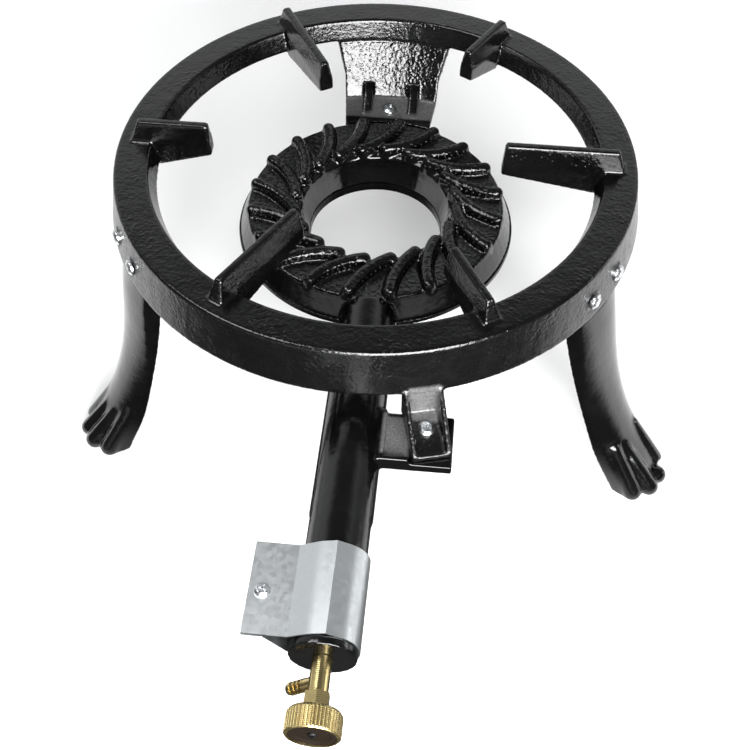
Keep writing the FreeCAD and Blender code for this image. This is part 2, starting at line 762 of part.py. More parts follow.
def hanging_fasteners(seat, grip):
    bolt = screw(m6, seat, V(0, 0, -1), grip + m6[4] + 2.0)
    nut = hexagon(m6[3], m6[4], seat - V(0, 0, grip), V(0, 0, -1), m6[0] + thread_gap)
    return bolt, nut


# Turned piece on the valve axis: points are radius and distance out from the ring axis
def lathe(points):
    face = profile(points, lambda r, out: V(tube_x + r, -out, top - tube_drop))
    return face.revolve(V(tube_x, 0, top - tube_drop), V(0, 1, 0), 360)


def on_axis(out):
    return V(tube_x, -out, top - tube_drop)


def barb_direction():
    a = math.radians(barb_drop_angle)
    return V(-math.cos(a), 0, -math.sin(a))


def make_valve_body():
    jet_seat = neck_back + jet_length - 3.0
    body = lathe([
        (0, neck_back), (neck_r, neck_back, 0.6), (neck_r, tube_end), (body_r, tube_end, 0.4),
        (body_r, body_front), (0, body_front)])
    port = on_axis(barb_y)
    body = body.fuse(rod(barb_r - 0.2, port, barb_direction(), body_r + 1.2))
    cuts = [rod(bore_r, on_axis(jet_seat - 1), V(0, -1, 0), body_front)]
    cuts.append(rod(jet_r - 0.6 + thread_gap, on_axis(neck_back - 1), V(0, -1, 0), jet_length - 2.0))
    cuts.append(rod(gland_neck_r + thread_gap, on_axis(body_front - pocket_depth), V(0, -1, 0), pocket_depth + 1))
    cuts.append(rod(barb_bore, port, barb_direction(), 20.0))
    return body.cut(group(cuts)).removeSplitter()


def make_jet():
    flange = neck_back - 3.0
    return lathe([
        (jet_hole, flange, 0.0), (jet_r - 1.2, flange, 0.5), (jet_r, flange + 1.2), (jet_r, neck_back),
        (jet_r - 0.6, neck_back), (jet_r - 0.6, neck_back + jet_length - 3.0),
        (bore_r - 1.0, neck_back + jet_length - 3.0), (jet_hole, neck_back + jet_length - 5.0)])


def make_gland():
    inner = body_front - gland_insert
    head = hexagon(gland_across, gland_length, on_axis(body_front), V(0, -1, 0), spindle_r + running_gap)
    neck = lathe([
        (spindle_r + running_gap, inner), (gland_neck_r, inner, 0.3), (gland_neck_r, body_front + 0.5),
        (spindle_r + running_gap, body_front + 0.5)])
    return head.fuse(neck).removeSplitter()


def make_packing():
    start = body_front - pocket_depth
    return lathe([
        (spindle_r + running_gap, start), (gland_neck_r, start), (gland_neck_r, body_front - gland_insert),
        (spindle_r + running_gap, body_front - gland_insert)])


def make_spindle():
    tip = neck_back + jet_length - 5.0 + needle_gap
    end = knob_front - knob_face - 1.0
    return lathe([
        (0, tip), (spindle_tip_r, tip + 0.5), (spindle_tip_r + 0.4, tip + spindle_tip * 0.6),
        (spindle_r, tip + spindle_tip), (spindle_r, end), (knob_screw_r + thread_gap, end),
        (knob_screw_r + thread_gap, end - 6.0), (0, end - 6.0)])


def make_knob():
    bore = spindle_r + running_gap
    face = knob_front - knob_face
    body = lathe([
        (bore, knob_back), (6.5, knob_back, 0.8), (7.5, knob_back + 1.2), (knob_r - 1.6, knob_back + 1.2, 1.2),
        (knob_r, knob_back + 3.6), (knob_r, knob_front - 1.0), (knob_r - 1.0, knob_front),
        (knob_r - knob_rim, knob_front), (knob_r - knob_rim, face), (bore, face)])
    flutes = []
    for k in range(knob_flutes):
        a = 2 * math.pi * k / knob_flutes
        p = on_axis(knob_back) + V(math.cos(a), 0, math.sin(a)) * (knob_r + knob_flute_r * 0.35)
        flutes.append(rod(knob_flute_r, p, V(0, -1, 0), knob_front - knob_back + 2))
    return body.cut(group(flutes)).removeSplitter()


def make_knob_insert():
    face = knob_front - knob_face
    outer = knob_r - knob_rim - thread_gap
    hub = knob_screw_r + 0.15
    return lathe([
        (hub, face), (outer, face), (outer, knob_front - 0.6, 0.4), (outer - 3.0, knob_front - 0.6),
        (outer - 5.0, knob_front - 1.6), (hub, knob_front - 1.6)])


def make_knob_screw():
    seat = on_axis(knob_front - 1.6)
    size = (knob_screw_r, knob_screw_head, 1.5, 0, 0)
    return screw(size, seat, V(0, 1, 0), 6.0)


def make_barb():
    start = body_r + 1.2
    steps = [(barb_bore, start), (barb_r - 0.2, start), (barb_r - 0.2, start + barb_neck)]
    pitch = (barb_length - start - barb_neck) / barb_ridges
    for k in range(barb_ridges):
        z = start + barb_neck + k * pitch
        steps.append((barb_r, z + 0.01))
        steps.append((barb_r, z + pitch * 0.3))
        steps.append((barb_r - barb_waist, z + pitch * 0.98))
    steps.append((barb_r - barb_waist, barb_length))
    steps.append((barb_bore, barb_length))
    face = profile(steps, lambda r, z: V(r, 0, z))
    body = face.revolve(V(0, 0, 0), V(0, 0, 1), 360)
    body.Placement = FreeCAD.Placement(on_axis(barb_y), FreeCAD.Rotation(V(0, 0, 1), barb_direction()))
    return body


def save(node, shape):
    shape = shape.copy()
    shape.translate(V(x_shift, y_shift, 0))
    shape.exportStep("parts/" + node + ".step")
    box = shape.BoundBox
    print("%-20s solids %d volume %.1f  x %.1f..%.1f y %.1f..%.1f z %.1f..%.1f %s" % (
        node, len(shape.Solids), shape.Volume, box.XMin, box.XMax, box.YMin, box.YMax,
        box.ZMin, box.ZMax, "" if shape.isValid() else "INVALID"))


os.makedirs("parts", exist_ok=True)
legs = {name: make_leg(angle, leg_leans[name]) for name, angle in leg_angles.items()}
x_shift = -(legs["leg_right"].BoundBox.XMax + legs["leg_left"].BoundBox.XMin) / 2.0
print("x shift %.3f, y shift %.3f" % (x_shift, y_shift))
save("pan_ring", make_ring())
save("burner_body", make_burner())
save("burner_bottom_plate", make_plate())
save("bottom_plate_screws", plate_screws())
for name, leg in legs.items():
    save(name, leg)
leg_screw_set, leg_nut_set = leg_fasteners()
save("leg_screws", leg_screw_set)
save("leg_nuts", leg_nut_set)
ear_bolt, ear_nut = hanging_fasteners(
    polar(ear_screw_r, ear_angle, seat_drop - ear_thick), ear_thick + wing_thick)
save("ear_screw", ear_bolt)
save("ear_nut", ear_nut)
back_bolt, back_nut = hanging_fasteners(
    V(0, brk_screw_y, top - seat_drop + brk_thick), brk_thick + lug_rear_thick)
save("back_screw", back_bolt)
save("back_nut", back_nut)
save("air_shutter", make_shutter())
clamp_bolt, clamp_nut = shutter_fasteners()
save("shutter_screw", clamp_bolt)
save("shutter_nut", clamp_nut)
save("valve_body", make_valve_body())
save("injector_jet", make_jet())
save("gland_nut", make_gland())
save("gland_packing", make_packing())
save("needle_spindle", make_spindle())
save("knob", make_knob())
save("knob_insert", make_knob_insert())
save("knob_screw", make_knob_screw())
save("hose_barb", make_barb())
travel = screw_pitch * knob_turns
print("spindle travel %.3f mm over %.0f degrees" % (travel, 360 * knob_turns))
print("ratio m per rad %.8f" % (screw_pitch / 2000.0 / math.pi))
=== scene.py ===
import json
import math

import bmesh
import bpy
from bpy.props import FloatProperty, FloatVectorProperty, IntProperty, PointerProperty
from mathutils import Matrix, Vector
from mathutils.bvhtree import BVHTree


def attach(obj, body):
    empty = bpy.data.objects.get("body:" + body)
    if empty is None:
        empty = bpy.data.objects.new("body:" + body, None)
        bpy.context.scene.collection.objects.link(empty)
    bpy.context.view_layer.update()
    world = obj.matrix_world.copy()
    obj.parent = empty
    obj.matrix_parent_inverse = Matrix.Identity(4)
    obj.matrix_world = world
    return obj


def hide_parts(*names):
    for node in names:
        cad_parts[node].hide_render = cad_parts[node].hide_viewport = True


bl_info = {
    "name": "Gas burner looks",
    "version": (1, 0, 0),
    "blender": (4, 5, 0),
    "location": "View3D > Sidebar > Burner",
    "description": "Casting surfaces, metal finishes and studio for the gas burner",
    "category": "Object",
}

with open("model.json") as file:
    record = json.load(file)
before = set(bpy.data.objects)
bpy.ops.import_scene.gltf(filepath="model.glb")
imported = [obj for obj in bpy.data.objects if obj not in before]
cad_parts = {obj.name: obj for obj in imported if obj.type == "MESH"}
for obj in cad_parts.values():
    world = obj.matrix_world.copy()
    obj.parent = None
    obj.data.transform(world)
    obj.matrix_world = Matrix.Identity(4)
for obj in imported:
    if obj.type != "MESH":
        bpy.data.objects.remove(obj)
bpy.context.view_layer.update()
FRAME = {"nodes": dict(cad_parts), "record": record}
NODES = FRAME["nodes"]
BODIES = FRAME["record"]["behaviour"]["bodies"]


def middle_of(name):
    """The middle of a CAD node's box, in metres."""
    node = NODES[name]
    corners = [node.matrix_world @ Vector(corner) for corner in node.bound_box]
    low = Vector(min(c[k] for c in corners) for k in range(3))
    high = Vector(max(c[k] for c in corners) for k in range(3))
    return (low + high) / 2.0


# The pan ring's axis, top and outer radius, and the tube's axis, in metres.
RING_X = middle_of("pan_ring").x
RING_Y = middle_of("burner_bottom_plate").y
RING_TOP = 0.215
RING_R = 0.2
TUBE_X = middle_of("knob").x
TUBE_Z = middle_of("knob").z

IRON = ("burner_bottom_plate",)
ZINC = ("bottom_plate_screws", "leg_screws", "leg_nuts", "ear_screw", "ear_nut",
        "back_screw", "back_nut", "shutter_screw", "shutter_nut")
BRASS = ("valve_body", "injector_jet", "gland_nut", "needle_spindle", "hose_barb")
STEPS = ("ring", "legs", "head", "finishes", "stage")

# Soft edges of the masks: each runs over this many metres.
STRIP_EDGE = 0.004
CEILING_EDGE = 0.002
# Soft edges of the pads of painted highlight.
SHEEN_EDGE = 0.003
SHEEN_CEILING_EDGE = 0.004
DECK_EDGES = (0.0025, 0.002)

# The ring's outer wall: radii and heights where its rough skin starts, and where it calms down.
WALL_RADII = (RING_R - 0.0006, RING_R + 0.0002)
WALL_HEIGHTS = (RING_TOP - 0.0008, RING_TOP - 0.0022)
CALM_HEIGHTS = (RING_TOP - 0.022, RING_TOP - 0.034)

# The head's deck between the ribs: margin inside the ribs, outer radius, share of orange peel.
DECK_MARGIN = 0.0045
DECK_OUTER = 0.1045
DECK_PEEL = 0.35

# Pebbled patches: direction in degrees, half width, inner and outer radius, ceiling.
RING_PEBBLED = (
    (90.0, 0.062, 0.146, 0.179, RING_TOP - 0.0175),
    (284.6, 0.013, 0.2035, 0.208, RING_TOP - 0.036),
)
# Pads of painted highlight, lighter grains added to the enamel's colour where it catches light: x
# and y from the ring's axis, half sizes in x and y, ceiling, brightness.
RING_SHEEN_PADS = (
    (0.0, 0.131, 0.05, 0.016, 0.158, 0.14),
    (0.0525, -0.2015, 0.012, 0.008, RING_TOP - 0.03, 0.16),
)
# Painted highlight on the head's casting beside the tube.
HEAD_SHEEN_PADS = ((0.035, -0.2195, 0.011, 0.0185, 0.17, 0.12),)

# Gas ports: the rim's section, and the flat disc of painted shade in the mouth, as shares of the
# port's radius (reach, rise).
PORT_SIDES = 10
PORT_RIM = ((0.62, 0.0), (0.86, 0.22), (1.12, 0.22), (1.4, -0.15))
PORT_SHADE_DISC = (0.8, 0.06)
PORT_FACING = 0.2

# Floor in reflections and haze: metres from the ring's axis where each change starts and ends.
FLANK_X = (0.16, 0.23)
FLANK_Y = (-0.25, -0.12)
BACK_Y = (0.0, 0.22)
FRONT_Y = (-0.75, -1.3)
HAZE_Y = (0.15, 0.9)
HAZE_RADII = (0.8, 1.7)

# Room in reflections: parts of the view direction where each change starts and ends.
BACKDROP_X = (0.8, 0.4, 0.3, 1.0)
BACKDROP_Y = (0.1, 0.55)
BACKDROP_Z = (0.80, 0.55)
DOORWAY_Y = (-0.35, -0.75)
DOORWAY_Z = (0.10, 0.0)
ROOM_COLOUR = (0.97, 0.985, 1.0, 1.0)
WHITE = (1.0, 1.0, 1.0, 1.0)

# Lamps: place and target from the foot of the ring's axis, width and height.
LAMPS = {
    "key": ((-0.9, -0.25, 1.9), (0.0, 0.0, 0.15), 1.0, 1.0),
    "front": ((0.30, -1.05, 0.64), (0.0, 0.16, 0.17), 0.9, 0.6),
    "side": ((1.6, 0.25, 0.4), (0.0, 0.0, 0.15), 0.5, 0.5),
}


def from_axis(offset):
    """A place given from the foot of the ring's axis."""
    return Vector((RING_X, RING_Y, 0.0)) + Vector(offset)


class Value:
    """A shader output that takes part in sums, differences and products like a number."""

    def __init__(self, graph, socket):
        self.graph = graph
        self.socket = socket

    def __add__(self, other):
        return self.graph.math("ADD", self, other)

    def __radd__(self, other):
        return self.graph.math("ADD", other, self)

    def __sub__(self, other):
        return self.graph.math("SUBTRACT", self, other)

    def __rsub__(self, other):
        return self.graph.math("SUBTRACT", other, self)

    def __mul__(self, other):
        return self.graph.math("MULTIPLY", self, other)

    def __rmul__(self, other):
        return self.graph.math("MULTIPLY", other, self)

    def __abs__(self):
        return self.graph.math("ABSOLUTE", self)

    def sqrt(self):
        return self.graph.math("SQRT", self)

    def ramp(self, low, high, start=0.0, end=1.0):
        """Smooth step from start at low to end at high."""
        return self.graph.node(
            "ShaderNodeMapRange", settings={"interpolation_type": "SMOOTHSTEP"},
            Value=self, From_Min=low, From_Max=high, To_Min=start, To_Max=end)


class Graph:
    """One material's node tree, built by calls."""

    def __init__(self, name):
        self.material = bpy.data.materials.new(name)
        self.material.use_nodes = True
        self.tree = self.material.node_tree
        self.tree.nodes.clear()
        self.coords = self.node("ShaderNodeTexCoord", "Object")
        self.x, self.y, self.z = self.split(self.coords)

    @classmethod
    def over(cls, tree):
        """A graph that fills a tree which isn't a material's, such as the world's."""
        graph = cls.__new__(cls)
        graph.tree = tree
        tree.nodes.clear()
        return graph

    def node(self, kind, out=0, settings=None, **inputs):
        """Adds a node, sets or wires its inputs and returns one of its outputs."""
        made = self.tree.nodes.new(kind)
        for key, value in (settings or {}).items():
            setattr(made, key, value)
        for key, value in inputs.items():
            numbered = key[1:].isdigit()
            self.feed(made.inputs[int(key[1:]) if numbered else key.replace("_", " ")], value)
        return Value(self, made.outputs[out]) if out is not None else None

    def feed(self, slot, value):
        if isinstance(value, Value):
            self.tree.links.new(value.socket, slot)
        else:
            slot.default_value = value

    def math(self, operation, *terms):
        made = self.tree.nodes.new("ShaderNodeMath")
        made.operation = operation
        for slot, term in zip(made.inputs, terms):
            self.feed(slot, term)
        return Value(self, made.outputs[0])

    def split(self, vector):
        """The three parts of a vector."""
        made = self.node("ShaderNodeSeparateXYZ", Vector=vector).socket.node
        return [Value(self, part) for part in made.outputs]

    def stretched(self, factors):
        """The object coordinates, multiplied by one factor per axis."""
        return self.node("ShaderNodeCombineXYZ", X=self.x * factors[0], Y=self.y * factors[1],
                         Z=self.z * factors[2])

    def noise(self, scale, detail=2.0, rough=0.5, coords=None):
        return self.node("ShaderNodeTexNoise", Vector=coords or self.coords, Scale=scale,
                         Detail=detail, Roughness=rough)

    def cells(self, scale, feature="SMOOTH_F1", out="Distance"):
        return self.node("ShaderNodeTexVoronoi", out, settings={"feature": feature},
                         Vector=self.coords, Scale=scale)

    def grey(self, tone):
        return self.node("ShaderNodeCombineColor", Red=tone, Green=tone, Blue=tone)

    def tint(self, factor, low, high):
        """Colour between low and high by a factor."""
        return self.node("ShaderNodeMix", 2, settings={"data_type": "RGBA"},
                         i0=factor, i6=low, i7=high)

    def bump(self, height, depth=1.0):
        """Normal from a height; a height of 1 stands for a depth in metres."""
        return self.node("ShaderNodeBump", Height=height, Distance=depth, Strength=1.0)

    def surface(self, **inputs):
        shader = self.node("ShaderNodeBsdfPrincipled", **inputs)
        self.node("ShaderNodeOutputMaterial", None, Surface=shader)
        return self.material


class FinishSettings(bpy.types.PropertyGroup):
    """Surface textures: sizes and depths in metres, densities per metre, and colours."""

    enamel_black: FloatProperty(name="Enamel black", default=0.0013, min=0.0, max=1.0)
    enamel_rough: FloatProperty(name="Enamel roughness", default=0.12, min=0.0, max=1.0)
    enamel_index: FloatProperty(name="Enamel refractive index", default=1.52, min=1.0)
    peel_size: FloatProperty(name="Orange peel size", default=0.0032, min=0.0001)
    peel_depth: FloatProperty(name="Orange peel depth", default=0.00022, min=0.0)
    sand_size: FloatProperty(name="Sand grain size", default=0.0012, min=0.0001)
    sand_depth: FloatProperty(name="Sand grain depth", default=0.00012, min=0.0)
    lump_size: FloatProperty(name="Casting lump size", default=0.014, min=0.001)
    lump_depth: FloatProperty(name="Casting lump depth", default=0.0007, min=0.0)
    patch_size: FloatProperty(name="Rough patch size", default=0.03, min=0.001)
    bead_size: FloatProperty(name="Bead spacing", default=0.0034, min=0.0005)
    bead_depth: FloatProperty(name="Bead height", default=0.00045, min=0.0)
    pebble_size: FloatProperty(name="Pebble spacing", default=0.0030, min=0.0005)
    pebble_depth: FloatProperty(name="Pebble height", default=0.00026, min=0.0)
    worn_density: FloatProperty(name="Worn spot density", default=90.0, min=1.0)
    worn_rough: FloatProperty(name="Worn spot roughness", default=0.06, min=0.0)
    pale_density: FloatProperty(name="Pale spot density", default=55.0, min=1.0)
    pale_gain: FloatProperty(name="Pale spot gain", default=1.5, min=0.0)
    crater_density: FloatProperty(name="Wall crater density", default=420.0, min=1.0)
    crater_depth: FloatProperty(name="Wall crater depth", default=0.00028, min=0.0)
    streak_density: FloatVectorProperty(name="Wall streak density", default=(160.0, 160.0, 320.0))
    streak_depth: FloatProperty(name="Wall streak depth", default=0.0007, min=0.0)
    wall_calm: FloatProperty(name="Calm share low on the wall", default=0.6, min=0.0, max=1.0)
    wall_rough: FloatProperty(name="Wall roughness", default=0.13, min=0.0)
    cloud_density: FloatProperty(name="Zinc cloud density", default=260.0, min=1.0)
    tumble_density: FloatProperty(name="Zinc scratch density", default=2600.0, min=1.0)
    tumble_depth: FloatProperty(name="Zinc scratch depth", default=0.00004, min=0.0)
    spangle_density: FloatProperty(name="Spangle density", default=320.0, min=1.0)
    rolling_density: FloatVectorProperty(name="Rolling line density", default=(900.0, 60.0, 900.0))
    scuff_density: FloatProperty(name="Scuff density", default=140.0, min=1.0)
    sheet_depth: FloatProperty(name="Sheet relief depth", default=0.00004, min=0.0)
    turning_pitch: FloatProperty(name="Tool mark pitch, radians per metre", default=5200.0, min=1.0)
    turning_depth: FloatProperty(name="Tool mark depth", default=0.00003, min=0.0)
    brass_density: FloatProperty(name="Brass grain density", default=1500.0, min=1.0)
    tarnish_density: FloatProperty(name="Tarnish density", default=160.0, min=1.0)
    speck_density: FloatProperty(name="Moulding speck density", default=900.0, min=1.0)
    brass: FloatVectorProperty(name="Brass", subtype="COLOR", default=(0.66, 0.53, 0.25))
    zinc: FloatVectorProperty(name="Zinc", subtype="COLOR", default=(0.78, 0.80, 0.82))
    sheet: FloatVectorProperty(name="Galvanised sheet", subtype="COLOR",
                               default=(0.60, 0.625, 0.635))


class CastSettings(bpy.types.PropertyGroup):
    """How the castings are rounded off, and where the ribs and their ports lie."""

    leg_voxel: FloatProperty(name="Leg voxel", default=0.0014, min=0.0005)
    ring_voxel: FloatProperty(name="Ring voxel", default=0.0012, min=0.0005)
    head_voxel: FloatProperty(name="Head voxel", default=0.0011, min=0.0005)
    leg_smooth: IntProperty(name="Leg smoothing", default=14, min=0)
    ring_smooth: IntProperty(name="Ring and head smoothing", default=3, min=0)
    rib_count: IntProperty(name="Ribs", default=20, min=1)
    rib_phase: FloatProperty(name="First rib's angle", default=11.5)
    rib_sweep: FloatProperty(name="Rib sweep", default=22.2)
    rib_bow: FloatProperty(name="Rib bow", default=0.004, min=0.0001)
    rib_inner: FloatProperty(name="Rib inner radius", default=0.0646)
    rib_outer: FloatProperty(name="Rib outer radius", default=0.099)
    rib_width: FloatProperty(name="Rib width", default=0.0104)
    port_count: IntProperty(name="Ports along a rib", default=9, min=1)
    port_drop: FloatProperty(name="Port depth under the ring", default=0.0504)
    port_radius: FloatProperty(name="Port radius", default=0.0009)


class StageSettings(bpy.types.PropertyGroup):
    """Floor, lights and camera; the camera is placed from the foot of the ring's axis."""

    floor_size: FloatProperty(name="Floor size", default=7.0, min=1.0)
    floor_tone: FloatProperty(name="Floor tone", default=0.93, min=0.0, max=1.0)
    floor_rough: FloatProperty(name="Floor roughness", default=0.95, min=0.0, max=1.0)
    # The floor as reflections see it: the dark front is painted shade.
    floor_near: FloatProperty(name="Floor in reflections, front", default=0.04, min=0.0, max=1.0)
    floor_far: FloatProperty(name="Floor in reflections, back", default=0.95, min=0.0, max=1.0)
    haze_back: FloatProperty(name="Haze towards the back", default=0.35, min=0.0)
    haze_far: FloatProperty(name="Haze far away", default=0.95, min=0.0)
    room_level: FloatProperty(name="Room light", default=0.13, min=0.0)
    backdrop_level: FloatProperty(name="Backdrop light", default=0.85, min=0.0)
    front_level: FloatProperty(name="Low light from the front", default=0.9, min=0.0)
    key_power: FloatProperty(name="Key power", default=22.0, min=0.0)
    front_power: FloatProperty(name="Front power", default=42.0, min=0.0)
    side_power: FloatProperty(name="Side power", default=2.0, min=0.0)
    lens: FloatProperty(name="Lens", default=52.861, min=10.0)
    camera_at: FloatVectorProperty(name="Camera", default=(0.06096, -0.65642, 0.77487))
    camera_along: FloatVectorProperty(name="Camera direction",
                                      default=(-0.05702, 0.61601, -0.78567))
    camera_up: FloatVectorProperty(name="Camera up", default=(-0.07766, 0.78183, 0.61863))


def rgba(colour, share=1.0):
    """An opaque colour, darkened to a share."""
    return tuple(part * share for part in colour) + (1.0,)


def ring_radius(g):
    """Distance from the ring's axis, as a shader value."""
    dx = g.x - RING_X
    dy = g.y - RING_Y
    return (dx * dx + dy * dy).sqrt()


def sector(g, angle, half_width, inner, outer):
    """1 in a strip along one direction from the ring's axis, between two radii, and 0 past it."""
    turn = math.radians(angle)
    dx = g.x - RING_X
    dy = g.y - RING_Y
    along = dx * math.cos(turn) + dy * math.sin(turn)
    aside = abs(dy * math.cos(turn) - dx * math.sin(turn))
    return aside.ramp(half_width, half_width - STRIP_EDGE) \
        * along.ramp(inner, inner + STRIP_EDGE) * along.ramp(outer, outer - STRIP_EDGE)


def painted_sheen(g, s, x, y, half_x, half_y, ceiling, level):
    """Brightness of one pad of painted highlight, broken into grains."""
    aside = abs(g.x - (RING_X + x)).ramp(half_x, half_x - SHEEN_EDGE)
    along = abs(g.y - (RING_Y + y)).ramp(half_y, half_y - SHEEN_EDGE)
    grain = g.noise(1.0 / s.sand_size, 3.0, 0.7).ramp(0.3, 0.7, 0.4, 1.0)
    return aside * along * g.z.ramp(ceiling, ceiling - SHEEN_CEILING_EDGE) * grain * level


def enamel(name, s, walls=0.0, pebbled=(), beads=0.0, gloss=0.0, deck=None, peel=1.0,
           lumps=1.0, sheen_pads=()):
    """Black enamel over a sand casting: orange peel, grain, lumps, beads, pebbles, and pads of
    painted highlight.
    """
    g = Graph(name)
    cover = 0.0
    if deck:
        radius = ring_radius(g)
        cover = radius.ramp(deck[0], deck[0] + DECK_EDGES[0]) \
            * radius.ramp(deck[1], deck[1] - DECK_EDGES[1])
        peel = DECK_PEEL + cover * (peel - DECK_PEEL)
    for *strip, ceiling in pebbled:
        cover = cover + sector(g, *strip) * g.z.ramp(ceiling, ceiling - CEILING_EDGE)
    skin = g.noise(1.0 / s.peel_size, 1.5) * s.peel_depth \
        + g.noise(1.0 / s.sand_size, 2.0, 0.6) * s.sand_depth
    height = skin * peel + g.noise(1.0 / s.lump_size, 2.0) * s.lump_depth * lumps
    worn = g.noise(s.worn_density, 3.0, 0.6).ramp(0.35, 0.75)
    roughness = s.enamel_rough - gloss + worn * s.worn_rough
    if beads > 0.0:
        patches = g.noise(1.0 / s.patch_size, 2.0).ramp(0.46, 0.62)
        drops = g.cells(1.0 / s.bead_size).ramp(0.34, 0.12)
        height = height + drops * patches * s.bead_depth * beads
    if walls > 0.0:
        wall = ring_radius(g).ramp(*WALL_RADII) * g.z.ramp(*WALL_HEIGHTS)
        craters = g.cells(s.crater_density).ramp(0.15, 0.55)
        streaks = g.noise(1.0, 3.0, 0.65, g.stretched(s.streak_density))
        low = 1.0 - s.wall_calm * g.z.ramp(*CALM_HEIGHTS)
        relief = craters * s.crater_depth + streaks * s.streak_depth
        height = height + wall * low * walls * relief
        roughness = roughness + wall * s.wall_rough
    if pebbled or deck:
        rough_skin = g.cells(1.0 / s.pebble_size).ramp(0.65, 0.0) \
            + g.noise(1.5 / s.pebble_size, 2.0)
        height = height + rough_skin * cover * s.pebble_depth
    tone = s.enamel_black * (1.0 + s.pale_gain * g.noise(s.pale_density, 4.0, 0.6).ramp(0.45, 0.8))
    # Painted highlight: each pad lightens the colour where the enamel catches light.
    for pad in sheen_pads:
        tone = tone + painted_sheen(g, s, *pad)
    return g.surface(Base_Color=g.grey(tone), Roughness=roughness, IOR=s.enamel_index,
                     Normal=g.bump(height))


def plated(name, s, colour, rough):
    """Zinc plating: faint cloudy colour and fine tumbled scratches."""
    g = Graph(name)
    cloud = g.noise(s.cloud_density, 3.0, 0.6)
    return g.surface(Base_Color=g.tint(cloud.ramp(0.3, 0.7), rgba(colour, 0.82), rgba(colour)),
                     Metallic=1.0, Roughness=rough + cloud * 0.12,
                     Normal=g.bump(g.noise(s.tumble_density, 2.0), s.tumble_depth))


def galvanised(name, s):
    """Galvanised sheet: pale spangle cells, rolling lines and small scuffs."""
    g = Graph(name)
    spangle = g.cells(s.spangle_density, "F1", "Color")
    shade = g.node("ShaderNodeSeparateColor", Color=spangle)
    rolled = g.noise(1.0, 2.0, 0.5, g.stretched(s.rolling_density))
    scuff = g.noise(s.scuff_density, 4.0, 0.65).ramp(0.5, 0.75)
    colour = g.tint(shade * 0.5 + scuff * 0.5, rgba(s.sheet), rgba(s.sheet, 0.88))
    return g.surface(Base_Color=colour, Metallic=1.0, Roughness=0.33 + shade * 0.08 + scuff * 0.06,
                     Normal=g.bump(rolled * 0.6 + shade * 0.15, s.sheet_depth))


def machined(name, s, rough=0.2):
    """Turned brass: fine tool marks round the valve's axis and a slight tarnish."""
    g = Graph(name)
    dx = g.x - TUBE_X
    dz = g.z - TUBE_Z
    around = (dx * dx + dz * dz).sqrt()
    marks = g.math("SINE", (g.y + around) * s.turning_pitch)
    tarnish = g.noise(s.tarnish_density, 4.0, 0.6).ramp(0.45, 0.8)
    dull = (s.brass[0] * 0.62, s.brass[1] * 0.5, s.brass[2] * 0.4, 1.0)
    return g.surface(Base_Color=g.tint(tarnish * 0.6, rgba(s.brass), dull), Metallic=1.0,
                     Roughness=rough + tarnish * 0.16,
                     Normal=g.bump(marks * 0.5 + g.noise(s.brass_density) * 0.5, s.turning_depth))


def moulded(name, s, colour, rough, grain, shine=0.5):
    """Plain moulded or pressed piece with a fine grain."""
    g = Graph(name)
    speck = g.noise(s.speck_density, 2.0)
    return g.surface(Base_Color=g.tint(speck, rgba(colour, 0.7), rgba(colour)),
                     Roughness=rough + speck * 0.1, Specular_IOR_Level=shine,
                     Normal=g.bump(speck, grain))


def dress(obj, material):
    obj.data.materials.clear()
    obj.data.materials.append(material)


def body_name(node):
    return next(body for body, names in BODIES.items() if node in names)


def cast_copy(node, voxel, smooth):
    """A rounded casting made from a CAD node: one skin with soft inner corners and edges."""
    mesh = NODES[node].data.copy()
    obj = bpy.data.objects.new("cast_" + node, mesh)
    bpy.context.scene.collection.objects.link(obj)
    bm = bmesh.new()
    bm.from_mesh(mesh)
    bmesh.ops.remove_doubles(bm, verts=bm.verts, dist=1e-6)
    bm.to_mesh(mesh)
    bm.free()
    remesh = obj.modifiers.new("skin", "REMESH")
    remesh.mode = "VOXEL"
    remesh.voxel_size = voxel
    remesh.adaptivity = 0.0
    relax = obj.modifiers.new("relax", "SMOOTH")
    relax.factor = 0.5
    relax.iterations = smooth
    graph = bpy.context.evaluated_depsgraph_get()
    made = bpy.data.meshes.new_from_object(obj.evaluated_get(graph))
    obj.modifiers.clear()
    obj.data = made
    for face in made.polygons:
        face.use_smooth = True
    return obj


def port_places(s):
    """Points on the ribs' mid lines with the direction of the drilled ports."""
    for rib in range(s.rib_count):
        first = math.radians(s.rib_phase + rib * 360.0 / s.rib_count)
        last = first + math.radians(s.rib_sweep)
        start = Vector((math.cos(first), math.sin(first))) * s.rib_outer
        end = Vector((math.cos(last), math.sin(last))) * s.rib_inner
        chord = end - start
        radius = chord.length ** 2 / (8.0 * s.rib_bow) + s.rib_bow / 2.0
        across = Vector((chord.y, -chord.x)).normalized()
        centre = (start + end) / 2.0 + across * (radius - s.rib_bow)
        turn_from = math.atan2(start.y - centre.y, start.x - centre.x)
        turn_to = math.atan2(end.y - centre.y, end.x - centre.x)
        sweep = (turn_to - turn_from + math.pi) % (2.0 * math.pi) - math.pi
        for k in range(s.port_count):
            turn = turn_from + sweep * (k + 0.5) / s.port_count
            out = Vector((math.cos(turn), math.sin(turn), 0.0))
            point = Vector((centre.x + radius * out.x, centre.y + radius * out.y, 0.0))
            yield from_axis(point + Vector((0.0, 0.0, RING_TOP - s.port_drop))), out


def port_circle(bm, spot, normal, size, reach, rise):
    """Vertices of a circle about a port's normal; reach and rise are shares of its size."""
    u = normal.orthogonal().normalized()
    v = normal.cross(u)
    circle = []
    for k in range(PORT_SIDES):
        a = 2.0 * math.pi * k / PORT_SIDES
        offset = (u * math.cos(a) + v * math.sin(a)) * reach + normal * rise
        circle.append(bm.verts.new(spot + offset * size))
    return circle


